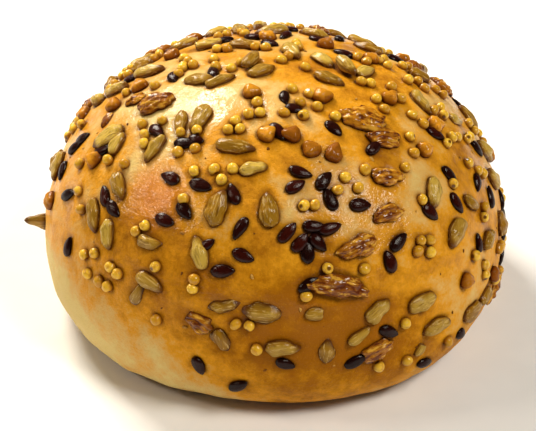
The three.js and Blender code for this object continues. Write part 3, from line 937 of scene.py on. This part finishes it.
def browning_of(shader, large, middle, small, fine, patches):
    """How browned each place is coloured: a slow pattern, the flank's two sides and patches, with
    painted shade, highlight and reflection among them.
    """
    side = shader.measure(SIDE)
    height = shader.measure(UP)

    # Darker amber low down, partly browning and partly painted shade, but less at the foot, at the far
    # right and at the left
    low = shader.product(
        shader.span(height, 44, 22),
        shader.span(side, -36, -10),
        shader.span(height, 3, 18, 0.2, 1),
        shader.span(side, 25, 42, 1, 0.2),
    )

    # A pale band round the lower left
    leftward = shader.total(
        shader.product(side, BAND_LEFTWARD),
        shader.product(shader.measure(DEPTH), BAND_FORWARD),
    )
    band = shader.product(shader.span(height, 34, 8), shader.span(leftward, 0.0, 0.75))
    return shader.total(
        shader.span(large, 0.38, 0.62, 0.24, 0.54),
        shader.span(middle, 0.33, 0.7, -0.1, 0.2),
        shader.span(small, 0.27, 0.73, -0.1, 0.1),
        shader.span(fine, 0.3, 0.7, -0.05, 0.05),
        shader.product(low, LOW_BROWNING_AND_SHADE),
        shader.product(band, BAND_BROWNED),
        # Pools round the seeds: partly pooled glaze, partly painted shade
        shader.product(shader.attribute("glaze_and_shade_pool"), POOL_BROWNING_AND_SHADE),
        *(shader.product(share, PATCHES[name]["browned"]) for name, share in patches.items()),
    )


def crust_material():
    """Egg-washed crust: pale, tan, gold and amber by how browned each place is coloured, with painted
    shade, highlight and reflection mixed in.
    """
    shader = Shader("glazed_crust")
    place = shader.place()
    height = shader.measure(UP)
    large = shader.noise(place, *LARGE_NOISE)
    middle = shader.noise(shader.stretch(place, (1, 1, 1), MIDDLE_SHIFT), *MIDDLE_NOISE)
    small = shader.noise(place, *SMALL_NOISE)
    fine = shader.noise(place, *FINE_NOISE)
    grain = shader.noise(place, *GRAIN_NOISE)
    patches = {}
    for name, patch in PATCHES.items():
        centre = crust_point(direction_seen_at(*patch["seen_at"]))
        patches[name] = shader.near(centre, patch["inner"], patch["outer"])
    blistered = patches["wrinkled"]

    # Darker and paler grain, darker near the foot, the wrinkled patch, and painted shade round each seed
    # The halo round each seed is partly caramel and partly painted contact shade
    caramel_and_shade_halo = shader.product(shader.attribute("caramel_and_shade_halo"), CARAMEL_AND_SHADE_STRENGTH)
    # Painted shade where seeds stand within 1.2 mm of the crust
    occlusion_shade = shader.span(shader.shut_in(1.2), 0.12, 0.62, 0, 0.85)
    colour = shader.layers(
        shader.ramp(browning_of(shader, large, middle, small, fine, patches), BROWNING_STOPS),
        (shader.span(grain, 0.56, 0.72, 0, 0.16), CRUST_BROWN),
        (shader.span(grain, 0.42, 0.27, 0, 0.25), CRUST_GRAIN),
        (shader.span(height, 5, 0.5, 0, 0.6), CRUST_BROWN),
        (shader.span(height, 0.4, 0.1), FOOT_BROWN),
        (shader.product(blistered, BLISTER_STRENGTH), CRUST_BLISTER),
        (shader.math("ADD", caramel_and_shade_halo, occlusion_shade, clamp=True), CARAMEL_AND_SHADE_BROWN),
    )
    normal = shader.bump(grain, GRAIN_DEPTH, shader.bump(fine, FINE_DEPTH))
    shader.set(Base_Color=colour, Roughness=0.5, Normal=normal)
    shader.set(Specular_IOR_Level=0.08, Specular_Tint=GLAZE_SHINE)

    # The glaze lies thick on the crown and in the wrinkled patch, and is slightly wrinkled all over
    thick = shader.product(
        shader.span(middle, 0.4, 0.6, 0.3, 0.75),
        shader.span(height, 18, 42, 0.06, 1),
    )
    glaze = shader.math("MINIMUM", shader.total(thick, blistered), 1.0)
    wrinkle = shader.product(
        shader.noise(shader.stretch(place, WRINKLE_STRETCH), *WRINKLE_NOISE),
        shader.span(large, 0.42, 0.58, 1, 0.4),
    )
    shader.set(Coat_Weight=glaze, Coat_Roughness=0.2, Coat_Normal=shader.bump(wrinkle, WRINKLE_DEPTH))
    return shader.material


def seed_shader(name):
    """A streaked skin: a tone for each seed, patches, and painted shade low on the roll, at the root in
    the dough and where things stand close.
    """
    skin = SKINS[name]
    dark, edge = skin["dark"], skin["edge"]
    shader = Shader(name)
    local = shader.attribute("local", "Vector")
    root = shader.attribute("root")
    streak = shader.noise(shader.stretch(local, skin["stripes"]), 1.0, 4.0, 0.65)
    patch = shader.noise(local, 0.55)
    colour = shader.layers(
        skin["light"],
        (shader.span(shader.attribute("tone"), 0.05, 1, 0, 0.9), dark),
        (shader.span(streak, 0.5, 0.68, 0, 0.65), edge),
        (shader.span(patch, 0.5, 0.72, 0, 0.5), dark),
        # Painted shade: darker low on the roll
        (shader.span(shader.measure(UP), 42, 20, 0, 0.5), dark),
        # Painted contact shade at the root and where things stand close
        (shader.span(root, 0.1, 0.6, 0, 0.7), dark),
        (shader.span(root, 0.5, 1, 0, 0.95), edge),
        (shader.span(shader.shut_in(1), 0.25, 0.8, 0, 0.65), edge),
    )
    shader.set(Base_Color=colour, Roughness=0.5, Normal=shader.bump(streak, 0.25))
    shader.set(Specular_IOR_Level=0.05, Specular_Tint=SEED_SHINE)
    shader.set(Coat_Weight=skin["coat"], Coat_Roughness=0.1, Coat_Normal=shader.bump(streak, 0.1))
    return shader, local, colour


def sunflower_material():
    """Olive kernels with pale veins, and with a dark tip and seam."""
    shader, local, colour = seed_shader("sunflower_kernel")
    vein = shader.noise(shader.stretch(local, VEIN_STRIPES, VEIN_SHIFT), 1.0)
    length, _, thickness = shader.split(local)
    tip = shader.span(length, 1.8, 3.3, 0, 0.9)
    seam = shader.span(shader.math("ABSOLUTE", thickness), 0.45, 0.1, 0, 0.6)
    colour = shader.layers(
        colour,
        (shader.span(vein, 0.54, 0.68, 0, 0.45), KERNEL_VEIN),
        (shader.math("MAXIMUM", tip, seam), KERNEL_TIP),
    )
    shader.set(Base_Color=colour)
    return shader.material


def linseed_material():
    """Nearly black and crisply glossy."""
    shader, _, _ = seed_shader("linseed_skin")
    shader.set(Specular_IOR_Level=0.04, Specular_Tint=LINSEED_SHINE, Coat_Roughness=0.07)
    return shader.material


def groat_material():
    shader, _, _ = seed_shader("buckwheat_groat")
    return shader.material


def millet_material():
    """Yellow grains with painted shade underneath and where things stand close; nearly half have a dark
    scar at their end.
    """
    shader = Shader("millet_skin")
    local = shader.attribute("local", "Vector")
    tone = shader.attribute("tone")
    blotch = shader.noise(local, 1.4)
    has_scar = shader.math("LESS_THAN", tone, SCARRED_TONE)
    colour = shader.layers(
        shader.mix(tone, MILLET_LIGHT, MILLET_DARK),
        (shader.span(blotch, 0.46, 0.68, 0, 0.6), MILLET_BLOTCH),
        # Painted contact shade at the root and where things stand close
        (shader.span(shader.attribute("root"), 0.15, 0.9, 0, 0.85), MILLET_ROOT_SHADE),
        (shader.span(shader.shut_in(1.2), 0.3, 0.8, 0, 0.7), MILLET_ROOT_SHADE),
        (shader.product(shader.span(shader.split(local)[0], 0.87, 0.98, 0, 0.9), has_scar), MILLET_SCAR),
    )
    shader.set(Base_Color=colour, Roughness=0.5, Normal=shader.bump(shader.noise(local, 4, 3.0), 0.06))
    shader.set(Specular_IOR_Level=0.1, Specular_Tint=SEED_SHINE, Coat_Weight=0.6, Coat_Roughness=0.09)
    return shader.material


def flake_material():
    """Toasted flakes, pale on the crests of their bump and dark brown in its folds, partly their own
    colour and partly painted highlight and shade, with painted shade at the root.
    """
    shader = Shader("toasted_flake")
    local = shader.attribute("local", "Vector")
    crest = shader.noise(shader.stretch(local, FLAKE_STRIPES), 1.0, 3.0, 0.6)
    colour = shader.layers(
        shader.mix(shader.attribute("tone"), FLAKE_LIGHT, FLAKE_DARK),
        # Paler on the bump's crests and darker in its folds: partly the flake's own colour, partly
        # painted highlight and painted shade
        (shader.span(crest, 0.52, 0.64, 0, 0.8), FLAKE_CREST_AND_HIGHLIGHT),
        (shader.span(crest, 0.49, 0.38, 0, 0.95), FLAKE_FOLD_AND_SHADE),
        # Painted contact shade at the root and where things stand close
        (shader.span(shader.attribute("root"), 0.45, 1, 0, 0.85), FLAKE_ROOT_SHADE),
        (shader.span(shader.shut_in(1.2), 0.25, 0.7, 0, 0.85), FLAKE_HOLLOW_SHADE),
    )
    shader.set(Base_Color=colour, Roughness=0.5, Normal=shader.bump(crest, 0.2))
    shader.set(Specular_IOR_Level=0.1, Specular_Tint=SEED_SHINE, Coat_Weight=0.5, Coat_Roughness=0.1)
    return shader.material


def specks_material():
    shader = Shader("bran_speck")
    tone = shader.attribute("tone")
    grain = shader.noise(shader.place(), 3000)
    colour = shader.layers(
        SPECK_DARK,
        (shader.span(tone, 0.3, 0.7), SPECK_LIGHT),
        (shader.span(grain, 0.4, 0.7, 0, 0.4), CRUST_BROWN),
    )
    shader.set(Base_Color=colour, Roughness=0.5, Specular_IOR_Level=0.1, Specular_Tint=SEED_SHINE)
    return shader.material


def floor_material():
    shader = Shader("pale_floor")
    grain = shader.noise(shader.place(), 90)
    shader.set(Base_Color=shader.mix(shader.span(grain, 0.3, 0.7), FLOOR_GREY, FLOOR_WHITE))
    shader.set(Roughness=0.75)
    return shader.material


# The studio, in metres

FLOOR_REACH = 3.0
FLOOR_LEVEL = -0.0001
SENSOR_WIDTH = 36  # in millimetres, as Blender has it
NEAREST = 0.01  # that the camera sees
WORLD_COLOUR = (1, 0.95, 0.88, 1)
WORLD_STRENGTH = 0.07
GLINT_DISTANCE = 0.7  # from the wrinkled patch to the light that glints in it


def add_floor():
    mesh = bpy.data.meshes.new("floor")
    corners = ((-1, -1), (1, -1), (1, 1), (-1, 1))
    vertices = [(x * FLOOR_REACH, y * FLOOR_REACH, FLOOR_LEVEL) for x, y in corners]
    mesh.from_pydata(vertices, [], [(0, 1, 2, 3)])
    mesh.materials.append(floor_material())
    floor = add_object("floor", mesh)


def add_camera():
    """The camera stands where the photograph's did, with VIEW_AIM at its pixel."""
    data = bpy.data.cameras.new("camera")
    data.sensor_width = SENSOR_WIDTH
    data.lens = SENSOR_WIDTH * PIXELS_PER_MM * VIEW_DISTANCE / PHOTO_WIDTH
    data.clip_start = NEAREST
    right = (PHOTO_WIDTH / 2 - AIM_PIXEL[0]) / PIXELS_PER_MM
    up = (AIM_PIXEL[1] - PHOTO_HEIGHT / 2) / PIXELS_PER_MM
    centre = VIEW_AIM + RIGHT * right + UPWARD * up
    camera = add_object("camera", data)
    camera.location = Vector(EYE) * MM
    camera.rotation_euler = Vector(centre - EYE).to_track_quat("-Z", "Y").to_euler()
    bpy.context.scene.camera = camera


def glint_place():
    """Where a light shows to the camera as a highlight on the wrinkled patch."""
    direction = direction_seen_at(*PATCHES["wrinkled"]["seen_at"])
    normal = crust_normal(direction)
    spot = crust_point(direction)
    to_eye = unit(EYE - spot)
    mirrored = 2 * (normal @ to_eye) * normal - to_eye
    return tuple(spot * MM + mirrored * GLINT_DISTANCE)


def add_light(name, place, size, power, colour):
    """A square soft light that faces the roll."""
    data = bpy.data.lights.new(name, "AREA")
    data.size = size
    data.energy = power
    data.color = colour
    light = add_object(name, data)
    light.location = place
    to_roll = Vector(VIEW_AIM) * MM - light.location
    light.rotation_euler = to_roll.to_track_quat("-Z", "Y").to_euler()


def add_world():
    world = bpy.data.worlds.new("studio")
    world.use_nodes = True
    background = world.node_tree.nodes["Background"]
    background.inputs["Color"].default_value = WORLD_COLOUR
    background.inputs["Strength"].default_value = WORLD_STRENGTH
    bpy.context.scene.world = world


def dress(piece):
    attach(piece, "root")
    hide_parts(NODE)


# Each kind's piece, its material slot in the record, and its material
PIECES = {
    "sunflower": ("sunflower_kernels", "sunflower_kernel", sunflower_material),
    "flake": ("grain_flakes", "grain_flake", flake_material),
    "groat": ("buckwheat_groats", "buckwheat_groat", groat_material),
    "linseed": ("linseeds", "linseed_skin", linseed_material),
    "millet": ("millet_grains", "millet_skin", millet_material),
}

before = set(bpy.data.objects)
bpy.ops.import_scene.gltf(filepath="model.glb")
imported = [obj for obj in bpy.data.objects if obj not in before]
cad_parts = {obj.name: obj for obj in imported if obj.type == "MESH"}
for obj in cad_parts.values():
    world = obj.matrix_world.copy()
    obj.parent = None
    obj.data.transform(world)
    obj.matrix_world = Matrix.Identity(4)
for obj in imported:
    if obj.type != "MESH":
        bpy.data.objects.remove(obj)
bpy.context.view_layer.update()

add_camera()
add_floor()
add_world()
add_light("key", (-0.315, 0.435, 0.555), size=0.26, power=7.8, colour=(1, 0.94, 0.82))
add_light("overhead", (0.42, -0.27, 0.64), size=0.25, power=4.4, colour=(1, 0.95, 0.85))
add_light("glint", glint_place(), size=0.12, power=1.1, colour=(1, 0.84, 0.68))
bpy.context.scene.view_settings.view_transform = "Standard"

spots = all_spots()
dress(crust_piece(spots, crust_material()))
for kind, (name, slot, material) in PIECES.items():
    own = [spot for spot in spots if spot["kind"] == kind]
    dress(seeds_piece(kind, own, name, material()))
dress(specks_piece(specks_material()))
